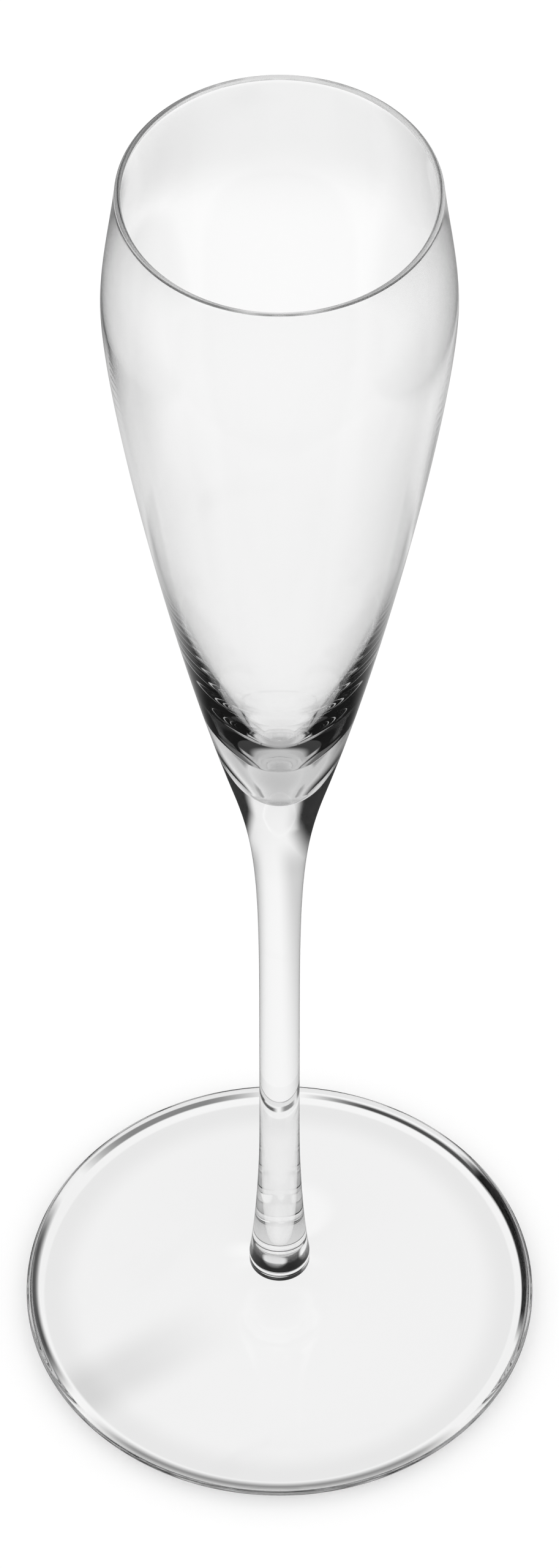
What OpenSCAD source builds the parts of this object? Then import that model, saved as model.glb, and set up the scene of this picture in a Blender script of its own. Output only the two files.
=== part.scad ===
/* [Glass] */
// Height from the table to the lip
glass_h = 240; // [225:1:280]

/* [Outside of the bowl] */
// Outside diameter across the lip
lip_d = 43.3; // [39:0.1:47]
// Wall thickness at the lip
lip_wall = 0.9; // [0.7:0.05:1.4]
// Angle at which the wall leans in at the lip
lip_lean = 5; // [0:0.5:12]
// Outside diameter at the belly, the widest part of the bowl
belly_d = 47.4; // [43:0.1:52]
// Drop from the lip to the belly
belly_drop = 23; // [20:0.5:28]
// How far the belly keeps its roundness towards the stem
belly_pull = 7.5; // [4:0.5:16]
// How far the belly keeps its roundness towards the lip
shoulder_pull = 11.5; // [6:0.5:13]
// How far the lip keeps its lean towards the belly
lip_pull = 12; // [6:0.5:13]
// How far the cone above the weld stays straight
cone_pull = 41; // [25:1:50]

/* [Cup inside the bowl] */
// Depth of the cup, from the lip down to its floor
cup_depth = 119.3; // [112:0.1:128]
// Glass between the floor of the cup and the stem
floor_wall = 3.7; // [2.5:0.1:6]
// Wall thickness at the belly
belly_wall = 0.6; // [0.45:0.05:1.2]
// Wall thickness at the knee, where the wall starts to thicken towards the stem
knee_wall = 0.75; // [0.5:0.05:1.4]
// Height of the knee above the weld
knee_h = 54; // [48:0.5:60]
// How far the cup follows the outside of the bowl below the knee
knee_pull = 33.5; // [26:0.5:36]
// Half angle of the cup's cone above its tip
cup_angle = 20.5; // [18:0.1:23]
// How far the cup's cone stays straight above its tip
cup_cone_pull = 11; // [6:0.5:14]
// Diameter of the cup's round tip where the cone starts
tip_d = 5.8; // [4:0.1:8]
// Height of the round tip
tip_h = 2.8; // [2:0.1:4]
// Half width of the flat of the tip's floor
tip_pull = 1.2; // [0.6:0.1:2]
// How far the cone's angle is kept down into the tip
tip_side_pull = 1.6; // [0.6:0.1:2]

/* [Weld between bowl and stem] */
// Diameter of the weld at the outside
weld_d = 13.6; // [12:0.1:16]
// Depth of the dish in the stem that the bowl sits in
weld_dish = 3; // [1.5:0.1:4]
// Half angle of the cone at the weld
weld_angle = 14.4; // [10:0.1:17]

/* [Stem] */
// Diameter of the straight part of the stem
stem_d = 5.84; // [4.6:0.02:7.6]
// Height of the flare from the straight part up to the weld
flare_h = 50; // [35:1:60]
// How far the stem stays slim at the foot of the flare
slim_pull = 28.5; // [12:0.5:32]
// How far the flare keeps the angle of the weld
flare_pull = 13.5; // [6:0.5:20]
// Diameter of the base of the stem
base_d = 8.9; // [8:0.1:12]
// Height over which the stem swells to its base
swell_h = 32; // [20:1:40]
// How far the stem stays slim above the swell
swell_pull = 20; // [8:1:22]
// Rounding of the lower edge of the stem
base_round = 0.8; // [0.4:0.1:1.5]

/* [Foot] */
// Diameter of the foot
foot_d = 75.5; // [65:0.5:85]
// Height of the bevel under the foot's edge
bevel_h = 1.3; // [0.8:0.1:2]
// Width of the bevel under the foot's edge
bevel_w = 1.5; // [0.8:0.1:3]
// How far the bevel stays flat or upright at its ends
bevel_pull = 0.4; // [0.1:0.1:0.7]
// Height of the upright side of the foot's edge
side_h = 0.4; // [0.2:0.1:1.5]
// Rounding of the upper edge of the foot
edge_round = 0.7; // [0.4:0.1:1.2]
// How far the foot stays flat in from its edge
rim_pull = 14; // [6:0.5:18]
// Height of the seat for the stem above the table
seat_h = 10.4; // [8:0.1:14]
// Height of the boss that carries the seat
boss_h = 1.2; // [0.8:0.1:2]
// Rounding of the upper edge of the boss
boss_round = 0.5; // [0.2:0.1:0.7]
// Slope of the foot where it meets the boss
boss_angle = 25; // [15:1:35]
// How far the foot keeps its slope out from the boss
boss_pull = 7; // [3:0.5:12]
// Width of the flat ring that the glass stands on
ring_w = 4; // [2:0.5:8]
// Depth of the hollow under the foot
hollow = 1.4; // [0.5:0.1:3]

/* [Hidden] */

curve_steps = 24;
arc_steps = 10;
round_sides = 96;
halvings = 30;

up = [0, 1];
out = [1, 0];
lip_r = lip_d / 2;
lip_bead = lip_wall / 2;
lip_along = [-sin(lip_lean), cos(lip_lean)];
lip_out = [cos(lip_lean), sin(lip_lean)];
lip_centre = [lip_r - lip_bead, glass_h - lip_bead];
belly_out = [belly_d / 2, glass_h - belly_drop];
cup_floor = [0, glass_h - cup_depth];
cup_along = [sin(cup_angle), cos(cup_angle)];
tip_side = cup_floor + [tip_d / 2, tip_h];
weld_r = weld_d / 2;
weld_z = glass_h - cup_depth - floor_wall + weld_dish;
weld_edge = [weld_r, weld_z];
weld_along = [sin(weld_angle), cos(weld_angle)];
weld_ball_r = (weld_r * weld_r + weld_dish * weld_dish) / (2 * weld_dish);
weld_ball = [0, weld_z - weld_dish + weld_ball_r];
stem_r = stem_d / 2;
base_r = base_d / 2;
base_z = seat_h + base_round;
foot_r = foot_d / 2;
boss_along = [cos(boss_angle), -sin(boss_angle)];

// Point part of the way along a curve that leaves p[0] towards p[1] and reaches p[3] from p[2]
function point(p, t) =
    let (s = 1 - t)
        s * s * s * p[0] + 3 * s * s * t * p[1] + 3 * s * t * t * p[2] + t * t * t * p[3];

// Direction of the same curve at that point
function direction(p, t) =
    let (s = 1 - t, d = s * s * (p[1] - p[0]) + 2 * s * t * (p[2] - p[1]) + t * t * (p[3] - p[2]))
        d / norm(d);

// How far along a rising curve a height lies, found by halving
function share_at(p, height, low = 0, high = 1, tries = halvings) =
    let (middle = (low + high) / 2)
        tries == 0 ? middle
        : point(p, middle)[1] < height ? share_at(p, height, middle, high, tries - 1)
        : share_at(p, height, low, middle, tries - 1);

function curve(p) = [for (i = [0 : curve_steps]) point(p, i / curve_steps)];

// Points along an arc from one angle to another
function arc(centre, radius, from, to) = [
    for (i = [0 : arc_steps])
        let (angle = from + (to - from) * i / arc_steps)
            centre + radius * [cos(angle), sin(angle)]
];

function without_first(points) = [for (i = [1 : len(points) - 1]) points[i]];

// The dish of the weld, from the axis out to the weld's edge, shared by bowl and stem
weld_face = arc(weld_ball, weld_ball_r, -90, asin(weld_r / weld_ball_r) - 90);

module turned(points) {
    rotate_extrude($fn = round_sides) polygon(points);
}

module bowl() {
    outside = [weld_edge, weld_edge + cone_pull * weld_along, belly_out - belly_pull * up, belly_out];
    belly_in = belly_out - belly_wall * out;
    lip_outer = lip_centre + lip_bead * lip_out;
    lip_inner = lip_centre - lip_bead * lip_out;
    shoulder = curve([belly_out, belly_out + shoulder_pull * up,
        lip_outer - lip_pull * lip_along, lip_outer]);
    lip_rise = arc(lip_centre, lip_bead, lip_lean, 90);
    lip_fall = arc(lip_centre, lip_bead, 90, lip_lean + 180);
    cup_shoulder = curve([lip_inner, lip_inner - lip_pull * lip_along,
        belly_in + shoulder_pull * up, belly_in]);
    knee_share = share_at(outside, weld_z + knee_h);
    knee = point(outside, knee_share) - knee_wall * out;
    knee_along = direction(outside, knee_share);
    cup_wall = [
        for (i = [0 : curve_steps])
            let (down = i / curve_steps, wall = belly_wall + (knee_wall - belly_wall) * down)
                point(outside, 1 - (1 - knee_share) * down) - wall * out
    ];
    cup_cone = curve([knee, knee - knee_pull * knee_along, tip_side + cup_cone_pull * cup_along, tip_side]);
    cup_tip = curve([tip_side, tip_side - tip_side_pull * cup_along, cup_floor + tip_pull * out, cup_floor]);
    color([0.88, 0.91, 0.93, 0.45])
        turned(concat(weld_face, without_first(curve(outside)), without_first(shoulder),
            without_first(lip_rise), without_first(lip_fall), without_first(cup_shoulder),
            without_first(cup_wall), without_first(cup_cone), without_first(cup_tip)));
}

module stem() {
    flare_foot = [stem_r, weld_z - flare_h];
    swell_top = [stem_r, seat_h + swell_h];
    base_side = [base_r, base_z];
    base_edge = arc([base_r - base_round, base_z], base_round, -90, 0);
    swell = curve([base_side, base_side, swell_top - swell_pull * up, swell_top]);
    flare = curve([flare_foot, flare_foot + slim_pull * up, weld_edge - flare_pull * weld_along, weld_edge]);
    dish = [for (i = [len(weld_face) - 2 : -1 : 0]) weld_face[i]];
    color([0.9, 0.92, 0.94, 0.5])
        turned(concat([[0, seat_h]], base_edge, without_first(swell), flare, dish));
}

module foot() {
    hollow_top = [0, hollow];
    ring_out = [foot_r - bevel_w, 0];
    ring_in = ring_out - ring_w * out;
    half_ring = ring_in / 2;
    bevel_top = [foot_r, bevel_h];
    edge_centre = [foot_r - edge_round, bevel_h + side_h];
    edge_top = edge_centre + edge_round * up;
    boss_foot = [base_r, seat_h - boss_h];
    under = curve([hollow_top, hollow_top + half_ring, ring_in - half_ring, ring_in]);
    bevel = curve([ring_out, ring_out + bevel_pull * out, bevel_top - bevel_pull * up, bevel_top]);
    edge = arc(edge_centre, edge_round, 0, 90);
    top = curve([edge_top, edge_top - rim_pull * out, boss_foot + boss_pull * boss_along, boss_foot]);
    boss = arc([base_r - boss_round, seat_h - boss_round], boss_round, 0, 90);
    color([0.87, 0.9, 0.92, 0.45])
        turned(concat(under, bevel, edge, without_first(top), boss, [[0, seat_h]]));
}

bowl();
stem();
foot();
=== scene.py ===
import math
from collections import namedtuple
from functools import reduce

import bmesh
import bpy
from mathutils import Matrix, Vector


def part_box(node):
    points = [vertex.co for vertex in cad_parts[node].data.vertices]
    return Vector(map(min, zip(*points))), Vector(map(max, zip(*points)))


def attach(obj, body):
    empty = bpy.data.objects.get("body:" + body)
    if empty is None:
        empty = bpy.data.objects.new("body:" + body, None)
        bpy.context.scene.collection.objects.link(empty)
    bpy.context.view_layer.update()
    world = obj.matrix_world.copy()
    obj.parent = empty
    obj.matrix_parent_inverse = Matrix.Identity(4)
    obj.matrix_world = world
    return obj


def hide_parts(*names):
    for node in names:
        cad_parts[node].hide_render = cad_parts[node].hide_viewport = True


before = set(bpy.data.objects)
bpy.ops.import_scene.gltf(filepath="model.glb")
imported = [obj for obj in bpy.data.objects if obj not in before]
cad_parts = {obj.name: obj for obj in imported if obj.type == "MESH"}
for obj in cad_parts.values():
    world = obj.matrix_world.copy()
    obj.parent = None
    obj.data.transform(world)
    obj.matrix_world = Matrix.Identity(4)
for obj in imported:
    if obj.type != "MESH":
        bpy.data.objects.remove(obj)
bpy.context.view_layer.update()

# Foot
# A pressed disc of clear glass that rises to a small boss in the middle, where the stem is fused on.
# Its edge is rounded above and bevelled below, and it stands on a flat ring round a shallow hollow.
_, (foot_r, _, seat_z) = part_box("foot")
bevel_h = 0.0013
bevel_w = 0.0015
bevel_pull = 0.0004
side_h = 0.0004
edge_round = 0.0007
rim_pull = 0.014
ring_w = 0.004
hollow = 0.0014
boss_r = 0.00445
boss_h = 0.0012
boss_round = 0.0005
boss_slope = math.radians(25)
boss_pull = 0.007
land_r = 0.00365
foot_wave_size = 0.016
foot_wave_depth = 0.0000015
foot_smear_size = 0.03
round_sides = 224
hollow_rings, flat_rings, bevel_rings, side_rings, edge_rings = 40, 6, 16, 4, 14
top_rings, boss_rings, boss_edge_rings, shelf_rings, seat_rings = 90, 6, 10, 3, 8
circle_pull = 0.5523
merge_gap = 4e-7
sharp_edge = math.radians(20)


def at(radius, height):
    return Vector((radius, 0, height))


def straight(start, end):
    return start, start.lerp(end, 1 / 3), start.lerp(end, 2 / 3), end


def quarter(start, corner, end):
    """A quarter of a circle from start to end, inside that corner."""
    return start, start.lerp(corner, circle_pull), end.lerp(corner, circle_pull), end


def mixed(nodes, link, kind, share, start, end):
    """Goes from start to end by a share, for one kind of socket: Float, Vector or Color."""
    node = nodes.new("ShaderNodeMix")
    node.data_type = {"Float": "FLOAT", "Vector": "VECTOR", "Color": "RGBA"}[kind]
    sockets = {socket.identifier: socket for socket in (*node.inputs, *node.outputs)}
    link(share, sockets["Factor_Float"])
    for side, value in (("A_", start), ("B_", end)):
        if isinstance(value, bpy.types.NodeSocket):
            link(value, sockets[side + kind])
        else:
            sockets[side + kind].default_value = value
    return sockets["Result_" + kind]


def lathe_tree():
    """One stretch of outline, a curve in the XZ plane, turned about the upright axis."""
    tree = bpy.data.node_groups.new("lathe", "GeometryNodeTree")
    for label in ("Start", "Start pull", "End pull", "End"):
        tree.interface.new_socket(label, in_out="INPUT", socket_type="NodeSocketVector")
    for label in ("Rings", "Sides"):
        tree.interface.new_socket(label, in_out="INPUT", socket_type="NodeSocketInt")
    tree.interface.new_socket("Glass", in_out="INPUT", socket_type="NodeSocketMaterial")
    tree.interface.new_socket("Geometry", in_out="OUTPUT", socket_type="NodeSocketGeometry")
    nodes, link = tree.nodes, tree.links.new
    sizes = nodes.new("NodeGroupInput").outputs

    grid = nodes.new("GeometryNodeMeshGrid")
    link(sizes["Rings"], grid.inputs["Vertices X"])
    link(sizes["Sides"], grid.inputs["Vertices Y"])
    place = nodes.new("ShaderNodeSeparateXYZ")
    link(grid.outputs["UV Map"], place.inputs["Vector"])

    def between(a, b):
        return mixed(nodes, link, "Vector", place.outputs["X"], a, b)

    near = between(sizes["Start"], sizes["Start pull"])
    middle = between(sizes["Start pull"], sizes["End pull"])
    far = between(sizes["End pull"], sizes["End"])
    outline = nodes.new("ShaderNodeSeparateXYZ")
    link(between(between(near, middle), between(middle, far)), outline.inputs["Vector"])

    turn = nodes.new("ShaderNodeMath")
    turn.operation = "MULTIPLY"
    link(place.outputs["Y"], turn.inputs[0])
    turn.inputs[1].default_value = 2 * math.pi
    spot = nodes.new("ShaderNodeCombineXYZ")
    for axis, wave in (("X", "COSINE"), ("Y", "SINE")):
        share = nodes.new("ShaderNodeMath")
        share.operation = wave
        link(turn.outputs[0], share.inputs[0])
        reach = nodes.new("ShaderNodeMath")
        reach.operation = "MULTIPLY"
        link(outline.outputs["X"], reach.inputs[0])
        link(share.outputs[0], reach.inputs[1])
        link(reach.outputs[0], spot.inputs[axis])
    link(outline.outputs["Z"], spot.inputs["Z"])

    shape = nodes.new("GeometryNodeSetPosition")
    link(grid.outputs["Mesh"], shape.inputs["Geometry"])
    link(spot.outputs["Vector"], shape.inputs["Position"])
    whole = nodes.new("GeometryNodeRealizeInstances")
    link(shape.outputs["Geometry"], whole.inputs["Geometry"])
    glazed = nodes.new("GeometryNodeSetMaterial")
    link(whole.outputs["Geometry"], glazed.inputs["Geometry"])
    link(sizes["Glass"], glazed.inputs["Material"])
    link(glazed.outputs["Geometry"], nodes.new("NodeGroupOutput").inputs["Geometry"])
    return tree


lathe = lathe_tree()


def turned(name, stretches):
    """A closed piece of glass from stretches of (outline, rings, glass), joined end to end."""
    whole = bmesh.new()
    glasses = []
    for outline, rings, glass in stretches:
        stretch = bpy.data.objects.new(name + "_stretch", bpy.data.meshes.new(name + "_stretch"))
        bpy.context.collection.objects.link(stretch)
        turning = stretch.modifiers.new("lathe", "NODES")
        turning.node_group = lathe
        values = dict(zip(("Start", "Start pull", "End pull", "End"), outline))
        values.update({"Rings": rings + 1, "Sides": round_sides + 1, "Glass": glass})
        for socket in lathe.interface.items_tree:
            if socket.in_out == "INPUT":
                turning[socket.identifier] = values[socket.name]
        mesh = bpy.data.meshes.new_from_object(stretch.evaluated_get(bpy.context.evaluated_depsgraph_get()))
        stretch.modifiers.remove(turning)
        first = len(whole.faces)
        whole.from_mesh(mesh)
        if glass not in glasses:
            glasses.append(glass)
        whole.faces.ensure_lookup_table()
        for face in whole.faces[first:]:
            face.material_index = glasses.index(glass)
            face.smooth = True
        bpy.data.objects.remove(stretch)
        bpy.data.meshes.remove(mesh)
    bmesh.ops.remove_doubles(whole, verts=whole.verts, dist=merge_gap)
    bmesh.ops.dissolve_degenerate(whole, edges=whole.edges, dist=merge_gap)
    bmesh.ops.recalc_face_normals(whole, faces=whole.faces)
    mesh = bpy.data.meshes.new(name)
    whole.to_mesh(mesh)
    whole.free()
    mesh.set_sharp_from_angle(angle=sharp_edge)
    for glass in glasses:
        mesh.materials.append(glass)
    piece = bpy.data.objects.new(name, mesh)
    bpy.context.collection.objects.link(piece)
    return piece


def fade(nodes, link, value, start, end, low=0.0, high=1.0):
    """Goes smoothly from low, where the value is start, to high, where it is end."""
    node = nodes.new("ShaderNodeMapRange")
    node.interpolation_type = "SMOOTHSTEP"
    link(value, node.inputs["Value"])
    for label, number in (("From Min", start), ("From Max", end), ("To Min", low), ("To Max", high)):
        node.inputs[label].default_value = number
    return node.outputs["Result"]


def clear_glass(name, wave_size, wave_depth, smear_size):
    """Polished clear glass with the faint waves of its making, and faint wiping marks in its gloss."""
    ior = 1.5
    smear_start, smear_end, smear_rough = 0.56, 0.8, 0.03
    smear_detail, smear_bend = 5.0, 1.2
    clean, smeared = (1, 1, 1, 1), (0.96, 0.96, 0.96, 1)
    glass = bpy.data.materials.new(name)
    glass.use_nodes = True
    nodes, link = glass.node_tree.nodes, glass.node_tree.links.new
    shader = nodes["Principled BSDF"]
    shader.inputs["IOR"].default_value = ior
    shader.inputs["Transmission Weight"].default_value = 1
    place = nodes.new("ShaderNodeTexCoord").outputs["Object"]

    waves = nodes.new("ShaderNodeTexNoise")
    link(place, waves.inputs["Vector"])
    waves.inputs["Scale"].default_value = 1 / wave_size
    bump = nodes.new("ShaderNodeBump")
    bump.inputs["Distance"].default_value = wave_depth
    link(waves.outputs["Fac"], bump.inputs["Height"])
    link(bump.outputs["Normal"], shader.inputs["Normal"])

    marks = nodes.new("ShaderNodeTexNoise")
    link(place, marks.inputs["Vector"])
    marks.inputs["Scale"].default_value = 1 / smear_size
    marks.inputs["Detail"].default_value = smear_detail
    marks.inputs["Distortion"].default_value = smear_bend
    smear = fade(nodes, link, marks.outputs["Fac"], smear_start, smear_end)
    link(fade(nodes, link, smear, 0, 1, 0, smear_rough), shader.inputs["Roughness"])
    link(mixed(nodes, link, "Color", smear, clean, smeared), shader.inputs["Base Color"])
    return glass


def fused_face():
    """Where two pieces are fused there is no surface left, so light goes straight on."""
    face = bpy.data.materials.new("fused_face")
    face.use_nodes = True
    nodes, link = face.node_tree.nodes, face.node_tree.links.new
    nodes.clear()
    clear = nodes.new("ShaderNodeBsdfTransparent")
    link(clear.outputs["BSDF"], nodes.new("ShaderNodeOutputMaterial").inputs["Surface"])
    return face


fused = fused_face()
foot_glass = clear_glass("pressed_clear_glass", foot_wave_size, foot_wave_depth, foot_smear_size)
hollow_top = at(0, hollow)
ring_out = at(foot_r - bevel_w, 0)
ring_in = ring_out - at(ring_w, 0)
bevel_top = at(foot_r, bevel_h)
edge_side = at(foot_r, bevel_h + side_h)
edge_corner = edge_side + at(0, edge_round)
edge_top = edge_corner - at(edge_round, 0)
boss_foot = at(boss_r, seat_z - boss_h)
boss_along = at(math.cos(boss_slope), -math.sin(boss_slope))
boss_corner = at(boss_r, seat_z)
boss_side = boss_corner - at(0, boss_round)
boss_top = boss_corner - at(boss_round, 0)
land_edge = at(land_r, seat_z)
under = (hollow_top, hollow_top + ring_in / 2, ring_in / 2, ring_in)
bevel = (ring_out, ring_out + at(bevel_pull, 0), bevel_top - at(0, bevel_pull), bevel_top)
top = (edge_top, edge_top - at(rim_pull, 0), boss_foot + boss_pull * boss_along, boss_foot)
foot = turned("pressed_foot", [
    (under, hollow_rings, foot_glass),
    (straight(ring_in, ring_out), flat_rings, foot_glass),
    (bevel, bevel_rings, foot_glass),
    (straight(bevel_top, edge_side), side_rings, foot_glass),
    (quarter(edge_side, edge_corner, edge_top), edge_rings, foot_glass),
    (top, top_rings, foot_glass),
    (straight(boss_foot, boss_side), boss_rings, foot_glass),
    (quarter(boss_side, boss_corner, boss_top), boss_edge_rings, foot_glass),
    (straight(boss_top, land_edge), shelf_rings, foot_glass),
    (straight(land_edge, at(0, seat_z)), seat_rings, fused),
])
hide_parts("foot")
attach(foot, "root")

# Stem
# A solid rod of clear glass, drawn out thin between a swollen base and a flare under the bowl.
# It is fused to the foot's boss at its flat lower end, and its dished top end holds the bowl.
_, (weld_r, _, weld_z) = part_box("stem")
stem_r = 0.00292
base_round = 0.0008
swell_h = 0.032
swell_pull = 0.020
flare_h = 0.050
slim_pull = 0.0285
flare_pull = 0.0135
weld_angle = math.radians(14.4)
weld_dish = 0.003
stem_wave_size = 0.012
stem_wave_depth = 0.000001
stem_smear_size = 0.014
base_rings, swell_rings, rod_rings, flare_rings, dish_rings = 12, 60, 16, 90, 20
base_side = at(boss_r, seat_z + base_round)
swell_top = at(stem_r, seat_z + swell_h)
flare_foot = at(stem_r, weld_z - flare_h)
weld_edge = at(weld_r, weld_z)
weld_along = at(math.sin(weld_angle), math.cos(weld_angle))
dish_r = (weld_r ** 2 + weld_dish ** 2) / (2 * weld_dish)
dish_angle = math.asin(weld_r / dish_r)
dish_along = at(math.cos(dish_angle), math.sin(dish_angle))
dish_pull = dish_r * 4 / 3 * math.tan(dish_angle / 4)
dish_foot = at(0, weld_z - weld_dish)
dish = (dish_foot, dish_foot + at(dish_pull, 0), weld_edge - dish_pull * dish_along, weld_edge)
swell = (base_side, base_side, swell_top - at(0, swell_pull), swell_top)
flare = (flare_foot, flare_foot + at(0, slim_pull), weld_edge - flare_pull * weld_along, weld_edge)
stem_glass = clear_glass("drawn_clear_glass", stem_wave_size, stem_wave_depth, stem_smear_size)
stem = turned("drawn_stem", [
    (straight(at(0, seat_z), land_edge), seat_rings, fused),
    (quarter(land_edge, boss_corner, base_side), base_rings, stem_glass),
    (swell, swell_rings, stem_glass),
    (straight(swell_top, flare_foot), rod_rings, stem_glass),
    (flare, flare_rings, stem_glass),
    (dish, dish_rings, fused),
])
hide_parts("stem")
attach(stem, "root")

# Bowl
# A blown cup of clear glass with a thin wall that thickens below the knee to a solid cone.
# Its lip is drawn in and fire polished to a round bead, and its foot is fused into the stem's dish.
_, (belly_r, _, lip_z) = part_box("bowl")
lip_r = 0.02165
lip_wall = 0.0009
lip_lean = math.radians(5)
belly_wall = 0.0006
belly_drop = 0.021
belly_pull = 0.0135
shoulder_pull = 0.0062
lip_pull = 0.0065
cone_pull = 0.03684
floor_wall = 0.0037
knee_wall = 0.00075
knee_h = 0.054
knee_pull = 0.0335
cup_angle = math.radians(20.5)
cup_cone_pull = 0.011
tip_r = 0.0029
tip_h = 0.0028
tip_pull = 0.0012
tip_side_pull = 0.0016
bowl_wave_size = 0.02
bowl_wave_depth = 0.000002
bowl_smear_size = 0.03
outside_rings, shoulder_rings, lip_rings = 120, 30, 10
wall_rings, cone_rings, tip_rings = 90, 60, 30
halvings = 30


def part_above(curve, height):
    """The part of a rising curve above a height, as a curve of its own."""
    low, high = 0.0, 1.0
    for _ in range(halvings):
        share = (low + high) / 2
        near, middle, far = (a.lerp(b, share) for a, b in zip(curve, curve[1:]))
        centre = middle.lerp(far, share)
        point = near.lerp(middle, share).lerp(centre, share)
        low, high = (share, high) if point.z < height else (low, share)
    return point, centre, far, curve[-1]


bead = lip_wall / 2
lip_centre = at(lip_r - bead, lip_z - bead)
lip_out = at(math.cos(lip_lean), math.sin(lip_lean))
lip_along = at(-math.sin(lip_lean), math.cos(lip_lean))
lip_outer = lip_centre + bead * lip_out
lip_top = lip_centre + bead * lip_along
lip_inner = lip_centre - bead * lip_out
belly_out = at(belly_r, lip_z - belly_drop)
belly_in = belly_out - at(belly_wall, 0)
outside = (weld_edge, weld_edge + cone_pull * weld_along, belly_out - at(0, belly_pull), belly_out)
shoulder = (belly_out, belly_out + at(0, shoulder_pull), lip_outer - lip_pull * lip_along, lip_outer)
cup_shoulder = (lip_inner, lip_inner - lip_pull * lip_along, belly_in + at(0, shoulder_pull), belly_in)
above_knee = part_above(outside, weld_z + knee_h)
walls = (knee_wall, knee_wall, belly_wall, belly_wall)
cup_wall = [spot - at(wall, 0) for spot, wall in zip(above_knee, walls)]
knee = cup_wall[0]
knee_along = (above_knee[1] - above_knee[0]).normalized()
cup_floor = at(0, weld_z - weld_dish + floor_wall)
cup_along = at(math.sin(cup_angle), math.cos(cup_angle))
tip_side = cup_floor + at(tip_r, tip_h)
cup_cone = (knee, knee - knee_pull * knee_along, tip_side + cup_cone_pull * cup_along, tip_side)
cup_tip = (tip_side, tip_side - tip_side_pull * cup_along, cup_floor + at(tip_pull, 0), cup_floor)
bowl_glass = clear_glass("blown_clear_glass", bowl_wave_size, bowl_wave_depth, bowl_smear_size)
bowl = turned("blown_bowl", [
    (dish, dish_rings, fused),
    (outside, outside_rings, bowl_glass),
    (shoulder, shoulder_rings, bowl_glass),
    (quarter(lip_outer, lip_outer + bead * lip_along, lip_top), lip_rings, bowl_glass),
    (quarter(lip_top, lip_inner + bead * lip_along, lip_inner), lip_rings, bowl_glass),
    (cup_shoulder, shoulder_rings, bowl_glass),
    (cup_wall[::-1], wall_rings, bowl_glass),
    (cup_cone, cone_rings, bowl_glass),
    (cup_tip, tip_rings, bowl_glass),
])
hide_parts("bowl")
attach(bowl, "root")

# Table
# A plain white table. The camera sees it white all over, with the glass's faint shadow on it.
# Light that the glass bends or mirrors meets it as a glowing sheet instead, with painted dark cards outside
# the picture that draw the dark lines in the glass, a thin painted contact shadow by the foot's rim and a
# slight painted shade where the foot stands.
table_size = 8
table_drop = 0.0001
table_white = (0.8, 0.8, 0.8, 1)
table_lift = 0.24
card_level = 0.004
once, twice = 1, 2
solid_crossings = 3
deep_start, deep_end = 2.5, 4.5
thin_lift = 0.02
table_piped = 12, 24, 0.75
near_start, near_end = 0.42, 0.30

# The painted dark side cards, whose edges lean inwards to the back, with a paler part behind the open mouth
card_back = 0.2
left_lean, left_start, left_end, left_thin = 0.6, 0.125, 0.22, 0.4
right_lean, right_start, right_end, right_thin = 0.4, 0.17, 0.225, 0.1
mouth_x_start, mouth_x_end = -0.05, -0.09
mouth_y_start, mouth_y_end, mouth_share = 0.20, 0.17, 0.35

# The darkness on both sides for light reflected often inside the glass
beside_start, beside_end = 0.04, 0.10

# The painted dark front card, painted grey shade in front of and round the foot, and a painted dark strip
# in the middle
front_start, front_end, front_shallow = -0.12, -0.19, 0.5
front_dim, front_dim_start, front_dim_end = 0.45, 0.0, -0.04
foot_dim, foot_dim_start, foot_dim_end = 0.4, 0.13, 0.06
strip_share, strip_start, strip_end = 0.95, -0.05, -0.12
strip_side_start, strip_side_end = 0.06, 0.035

# Painted grey shade on both sides of the middle, behind the bowl's edges and behind the mouth
dim_lean, dim_start, dim_end, dim_share = 0.3, 0.02, 0.09, 0.3
dim_far_start, dim_far_end = 0.17, 0.12
edge_share, edge_near_start, edge_near_end = 0.65, 0.095, 0.108
edge_far_start, edge_far_end = 0.146, 0.134
edge_side_start, edge_side_end = 0.045, 0.06
edge_back_start, edge_back_end = 0.05, 0.07
shade_start, shade_end = 0.215, 0.250
shade_left_start, shade_left_end, shade_share, shade_left_share = -0.010, -0.036, 0.12, 0.22

# The painted darkness that the outside of the glass mirrors: darker close by, far off and to the front
outer_share, outer_near, outer_far = 0.4, 0.96, 0.7
outer_near_start, outer_near_end = 0.125, 0.085
outer_far_start, outer_far_end = 0.165, 0.20
outer_front_start, outer_front_end = 0.11, 0.02

# Under the foot: painted shade for light caught inside it, a slight painted grey shade and a painted streak
# of the stem's shadow
under_start, under_end, under_thin = 0.040, 0.034, 0.1
under_deep_start, under_deep_end = 0.031, 0.025
seat_start, seat_end, seat_share = 0.011, 0.018, 0.5
# Painted shade under the foot, deeper towards its rim and cut off at the rim
foot_shade, rim_shade, rim_shade_start, rim_shade_end = 0.035, 0.12, 0.029, 0.034
shade_cut_start, shade_cut_end = 0.0354, 0.0349
# The painted shadow of the stem, a streak on the table under the foot
stem_shadow_azimuth = math.radians(213.2)
stem_shadow_start, stem_shadow_end, stem_shadow_share = 0.006, 0.030, 0.15
stem_shadow_wide, stem_shadow_full = 0.007, 0.001

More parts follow.
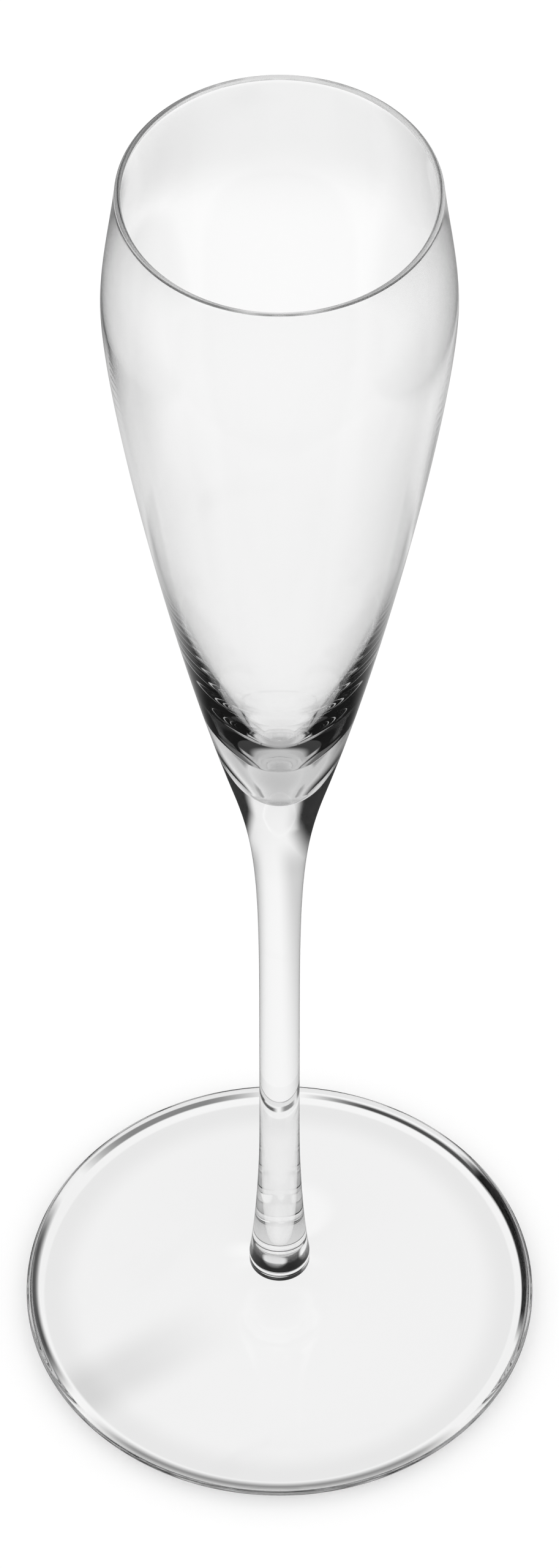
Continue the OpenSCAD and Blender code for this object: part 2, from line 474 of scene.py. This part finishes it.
# The painted contact shadow in a dark ring by the foot's rim, in lines that fade out towards their ends,
# with angles in degrees
RimShadowLine = namedtuple("RimShadowLine", "azimuth faded full share shift reach")
front_shift, back_shift = (0, -0.0011, 0), (0, -0.0004, 0)
fine_reach = 0.0360, 0.0363, 0.0369, 0.0371
rim_shadow_lines = (RimShadowLine(14, 32, 20, 1.0, back_shift, fine_reach),
             RimShadowLine(52, 35, 15, 0.93, back_shift, (0.0359, 0.0362, 0.0365, 0.0369)),
             RimShadowLine(75, 90, 60, 0.14, back_shift, (0.0369, 0.0371, 0.040, 0.041)),
             RimShadowLine(118, 28.4, 8.1, 0.75, back_shift, fine_reach),
             RimShadowLine(183, 32, 13.1, 0.93, front_shift, (0.03575, 0.03655, 0.040, 0.041)),
             RimShadowLine(268, 50, 30, 0.75, front_shift, (0.0361, 0.0372, 0.040, 0.041)))
bpy.ops.mesh.primitive_plane_add(size=table_size, location=(0, 0, -table_drop))
table = bpy.context.object
table.name = "table"


class Sums:
    """Short words for the sums in a node tree."""

    def __init__(self, nodes, link):
        self.nodes, self.link = nodes, link

    def set_up(self, kind, operation, values):
        """Makes a node, with its values set or linked, and gives its outputs."""
        node = self.nodes.new(kind)
        node.operation = operation
        for socket, value in zip(node.inputs, values):
            if isinstance(value, bpy.types.NodeSocket):
                self.link(value, socket)
            else:
                socket.default_value = value
        return node.outputs

    def sum(self, operation, *values):
        return self.set_up("ShaderNodeMath", operation, values)[0]

    def vector(self, operation, *values):
        return self.set_up("ShaderNodeVectorMath", operation, values)

    def most(self, *values):
        return reduce(lambda a, b: self.sum("MAXIMUM", a, b), values)

    def product(self, *values):
        return reduce(lambda a, b: self.sum("MULTIPLY", a, b), values)

    def fade(self, value, start, end, low=0.0, high=1.0):
        return fade(self.nodes, self.link, value, start, end, low, high)

    def length(self, spot):
        return self.vector("LENGTH", spot)["Value"]

    def facing(self, direction, towards):
        """One where a direction points straight that way, nought where it is square to it."""
        return self.vector("DOT_PRODUCT", direction, towards)["Value"]

    def piped(self, path, strength, start, end, level):
        """Light that has run far inside the wall comes from all round, so it turns to an even grey."""
        share = self.fade(path["Glossy Depth"], start, end)
        return mixed(self.nodes, self.link, "Float", share, strength, level)


def level_way(azimuth):
    """The level direction at an angle, counted from the right towards the back."""
    return math.cos(azimuth), math.sin(azimuth), 0


def painted_side_cards(sums, x, y):
    """The painted dark left and right card, the left one paler where the open mouth would show it."""
    back = sums.sum("MINIMUM", y, card_back)
    off_mouth = sums.most(sums.fade(x, mouth_x_start, mouth_x_end, mouth_share, 1.0),
                          sums.fade(y, mouth_y_start, mouth_y_end))
    left_of_edge = sums.sum("SUBTRACT", sums.product(back, left_lean), x)
    right_of_edge = sums.sum("ADD", sums.product(back, right_lean), x)
    return (sums.product(sums.fade(left_of_edge, left_start, left_end), off_mouth),
            sums.fade(right_of_edge, right_start, right_end))


def painted_front_card(sums, y, radius):
    """The painted dark card in front, with painted grey shade in front of and round the foot."""
    return sums.most(sums.fade(y, front_start, front_end),
                     sums.fade(y, front_dim_start, front_dim_end, 0.0, front_dim),
                     sums.fade(radius, foot_dim_start, foot_dim_end, 0.0, foot_dim))


def rim_contact_shadow(sums, place, radius):
    """The thin dark ring of painted contact shadow by the foot's rim."""
    lines = []
    for line in rim_shadow_lines:
        spot = sums.vector("ADD", place, line.shift)["Vector"]
        outward = sums.vector("NORMALIZE", spot)["Vector"]
        turn = sums.facing(outward, level_way(math.radians(line.azimuth)))
        ring = sums.length(spot)
        start, full, last, end = line.reach
        lines.append(sums.product(sums.fade(turn, math.cos(math.radians(line.faded)),
                                            math.cos(math.radians(line.full)), 0.0, line.share),
                                  sums.fade(ring, start, full),
                                  sums.fade(ring, end, last)))
    return sums.product(sums.most(*lines), sums.sum("LESS_THAN", radius, foot_r))


def foot_painted_shade(sums, place, radius):
    """The slight painted shade under the foot, deeper by the rim, with a painted streak of the stem's
    shadow.
    """
    # A painted streak of the stem's shadow
    along = sums.facing(place, level_way(stem_shadow_azimuth))
    across = sums.sum("ABSOLUTE", sums.facing(place, level_way(stem_shadow_azimuth + math.pi / 2)))
    stem_shadow = sums.product(sums.fade(along, stem_shadow_start, stem_shadow_end, 0.0, stem_shadow_share),
                          sums.fade(across, stem_shadow_wide, stem_shadow_full))
    grey = sums.sum("ADD", stem_shadow, sums.fade(radius, rim_shade_start, rim_shade_end, foot_shade, rim_shade))
    return sums.product(grey, sums.fade(radius, shade_cut_start, shade_cut_end))


def darkness(sums, place, path):
    """How dark the table's glow is painted for light that the glass has bent or mirrored, by place and by
    path.
    """
    spot = sums.nodes.new("ShaderNodeSeparateXYZ")
    sums.link(place, spot.inputs["Vector"])
    x, y = spot.outputs["X"], spot.outputs["Y"]
    radius = sums.length(place)
    off_axis = sums.sum("ABSOLUTE", x)
    off_middle = sums.sum("ABSOLUTE", sums.sum("SUBTRACT", x, sums.product(y, dim_lean)))
    near = sums.fade(radius, near_start, near_end)
    left, right = painted_side_cards(sums, x, y)
    beside = sums.fade(off_axis, beside_start, beside_end)
    dim = sums.product(sums.fade(off_middle, dim_start, dim_end, 0.0, dim_share),
                       sums.fade(radius, dim_far_start, dim_far_end))
    edge = sums.product(sums.fade(radius, edge_near_start, edge_near_end, 0.0, edge_share),
                        sums.fade(radius, edge_far_start, edge_far_end),
                        sums.fade(off_axis, edge_side_start, edge_side_end),
                        sums.fade(y, edge_back_start, edge_back_end))
    strip = sums.product(sums.fade(y, strip_start, strip_end, 0.0, strip_share),
                         sums.fade(off_axis, strip_side_start, strip_side_end))
    shade = sums.product(sums.fade(y, shade_start, shade_end),
                         sums.fade(x, shade_left_start, shade_left_end, shade_share, shade_left_share))

    crossings, reflections = path["Transmission Depth"], path["Glossy Depth"]
    crossed = sums.sum("MINIMUM", crossings, 1.0)
    reflected = sums.sum("MINIMUM", reflections, 1.0)
    inner = sums.product(reflected, crossed)
    solid = sums.product(crossed, sums.sum("LESS_THAN", crossings, solid_crossings))
    deep = sums.product(inner, sums.fade(reflections, deep_start, deep_end))
    shallow = sums.sum("LESS_THAN", reflections, deep_start)
    # Painted shade on the table under the foot, for light caught inside the glass
    under_rim = sums.product(sums.fade(radius, under_start, under_end), shallow)
    under_foot = sums.product(sums.most(under_rim, sums.fade(radius, under_deep_start, under_deep_end)),
                              sums.fade(radius, seat_start, seat_end, seat_share, 1.0))
    mirrored = sums.most(sums.fade(radius, outer_near_start, outer_near_end, outer_share, outer_near),
                         sums.fade(radius, outer_far_start, outer_far_end, outer_share, outer_far),
                         sums.fade(y, outer_front_start, outer_front_end, outer_share, outer_near))
    outer = sums.product(sums.sum("SUBTRACT", reflected, inner), mirrored)
    # The painted contact shadow by the foot's rim and the painted shade under the foot
    shade_at_foot = sums.most(rim_contact_shadow(sums, place, radius), foot_painted_shade(sums, place, radius))
    near_solid = sums.product(near, solid)
    near_crossed = sums.product(near, crossed)
    left_seen = sums.most(near_solid, sums.product(near_crossed, left_thin), deep)
    right_seen = sums.most(near_solid, sums.product(near_crossed, right_thin), deep)
    return sums.most(sums.product(left, left_seen),
                     sums.product(right, right_seen),
                     sums.product(beside, deep),
                     sums.product(painted_front_card(sums, y, radius), inner,
                                  sums.fade(reflections, once, twice, front_shallow, 1.0)),
                     sums.product(under_foot, inner, sums.most(solid, under_thin)),
                     sums.product(dim, near_solid),
                     sums.product(edge, inner),
                     sums.product(shade, solid),
                     sums.product(strip, deep, solid),
                     sums.product(shade_at_foot, crossed),
                     outer)


def white_table_painted_shade():
    """Matt white to the camera, and to light from the glass a glowing sheet with painted dark cards and
    shade.
    """
    paper = bpy.data.materials.new("white_table_painted_shade")
    paper.use_nodes = True
    nodes, link = paper.node_tree.nodes, paper.node_tree.links.new
    nodes.clear()
    sums = Sums(nodes, link)
    place = nodes.new("ShaderNodeTexCoord").outputs["Object"]
    path = nodes.new("ShaderNodeLightPath").outputs
    lit = sums.most(sums.sum("SUBTRACT", 1.0, darkness(sums, place, path)), card_level)
    crossings = path["Transmission Depth"]
    lifted = sums.fade(crossings, solid_crossings - 1, solid_crossings, 1.0, 1.0 + thin_lift)
    glow = nodes.new("ShaderNodeEmission")
    link(sums.piped(path, sums.product(lit, lifted), *table_piped), glow.inputs["Strength"])
    matt = nodes.new("ShaderNodeBsdfDiffuse")
    matt.inputs["Color"].default_value = table_white
    lift = nodes.new("ShaderNodeEmission")
    lift.inputs["Strength"].default_value = table_lift
    plain = nodes.new("ShaderNodeAddShader")
    link(matt.outputs["BSDF"], plain.inputs[0])
    link(lift.outputs["Emission"], plain.inputs[1])
    seen = nodes.new("ShaderNodeMixShader")
    link(sums.most(path["Is Glossy Ray"], path["Is Transmission Ray"]), seen.inputs["Fac"])
    link(plain.outputs["Shader"], seen.inputs[1])
    link(glow.outputs["Emission"], seen.inputs[2])
    link(seen.outputs["Shader"], nodes.new("ShaderNodeOutputMaterial").inputs["Surface"])
    return paper


table.data.materials.append(white_table_painted_shade())

# Room light
# Even white light from all round. Light that the glass mirrors meets a dark room instead, with a window
# behind on the left, pale walls behind the camera and at both sides, and a gap of light behind the glass.
room_white = (1, 1, 1, 1)
room_level = 0.008
ceiling_start, ceiling_end, ceiling_level = 0.15, 0.45, 0.012
PaleSpot = namedtuple("PaleSpot", "towards start end level")
window = PaleSpot((-0.69, 0.69, 0.23), 0.93, 0.97, 1.0)
camera_wall = PaleSpot((0, -0.96, 0.27), 0.80, 0.95, 0.7)
left_wall = PaleSpot((-0.80, 0.42, 0.43), 0.93, 0.98, 0.7)
right_wall = PaleSpot((0.80, 0.45, 0.39), 0.93, 0.98, 0.7)
gap = PaleSpot((0.102, 0.973, 0.208), 0.961, 0.985, 0.8)
dull_start, dull_end, dull_share = 4, 8, 0.1
room_piped = 26, 64, 0.36
lip_start, lip_end, lip_level = 70, 110, 0.75
lip_dark_start, lip_dark_end, lip_dark_share = 0.05, 0.35, 0.75
bounces = 256


def soft_room():
    """White to the camera and to bent light, and a dark room with pale spots to mirrored light."""
    room = bpy.data.worlds.new("soft_room")
    room.use_nodes = True
    nodes, link = room.node_tree.nodes, room.node_tree.links.new
    sums = Sums(nodes, link)
    towards = nodes.new("ShaderNodeTexCoord").outputs["Generated"]
    way = nodes.new("ShaderNodeSeparateXYZ")
    link(towards, way.inputs["Vector"])
    path = nodes.new("ShaderNodeLightPath").outputs
    reflections = path["Glossy Depth"]
    level = sums.fade(way.outputs["Z"], ceiling_start, ceiling_end, room_level, ceiling_level)
    for spot in (window, camera_wall, left_wall, right_wall, gap):
        facing = sums.facing(towards, spot.towards)
        level = sums.most(level, sums.fade(facing, spot.start, spot.end, 0.0, spot.level))
    level = sums.product(level, sums.fade(reflections, dull_start, dull_end, 1.0, dull_share))
    level = sums.piped(path, level, *room_piped)
    level = sums.piped(path, level, lip_start, lip_end, lip_level)
    lip_dark = sums.product(sums.fade(reflections, lip_start, lip_end),
                            sums.fade(way.outputs["X"], lip_dark_start, lip_dark_end, 0.0, lip_dark_share))
    level = sums.product(level, sums.sum("SUBTRACT", 1.0, lip_dark))
    direct = sums.sum("LESS_THAN", reflections, 1.0)
    background = nodes["Background"]
    background.inputs["Color"].default_value = room_white
    link(sums.most(level, direct), background.inputs["Strength"])
    return room


bpy.context.scene.world = soft_room()
bpy.context.scene.view_settings.view_transform = "Standard"
bpy.context.scene.cycles.max_bounces = bounces
bpy.context.scene.cycles.transmission_bounces = bounces
bpy.context.scene.cycles.glossy_bounces = bounces
bpy.context.scene.cycles.transparent_max_bounces = bounces

# Camera
# It looks down on the glass from the front, from about a metre and a half away.
eye_back = 0.867
eye_high = 1.166
look_down = math.radians(50.363)
lens = 223.03
film = 36
far_clip = 50
camera_data = bpy.data.cameras.new("camera")
camera_data.lens = lens
camera_data.sensor_width = film
camera_data.clip_end = far_clip
camera = bpy.data.objects.new("camera", camera_data)
camera.location = (0, -eye_back, eye_high)
camera.rotation_euler = (math.pi / 2 - look_down, 0, 0)
bpy.context.collection.objects.link(camera)
bpy.context.scene.camera = camera
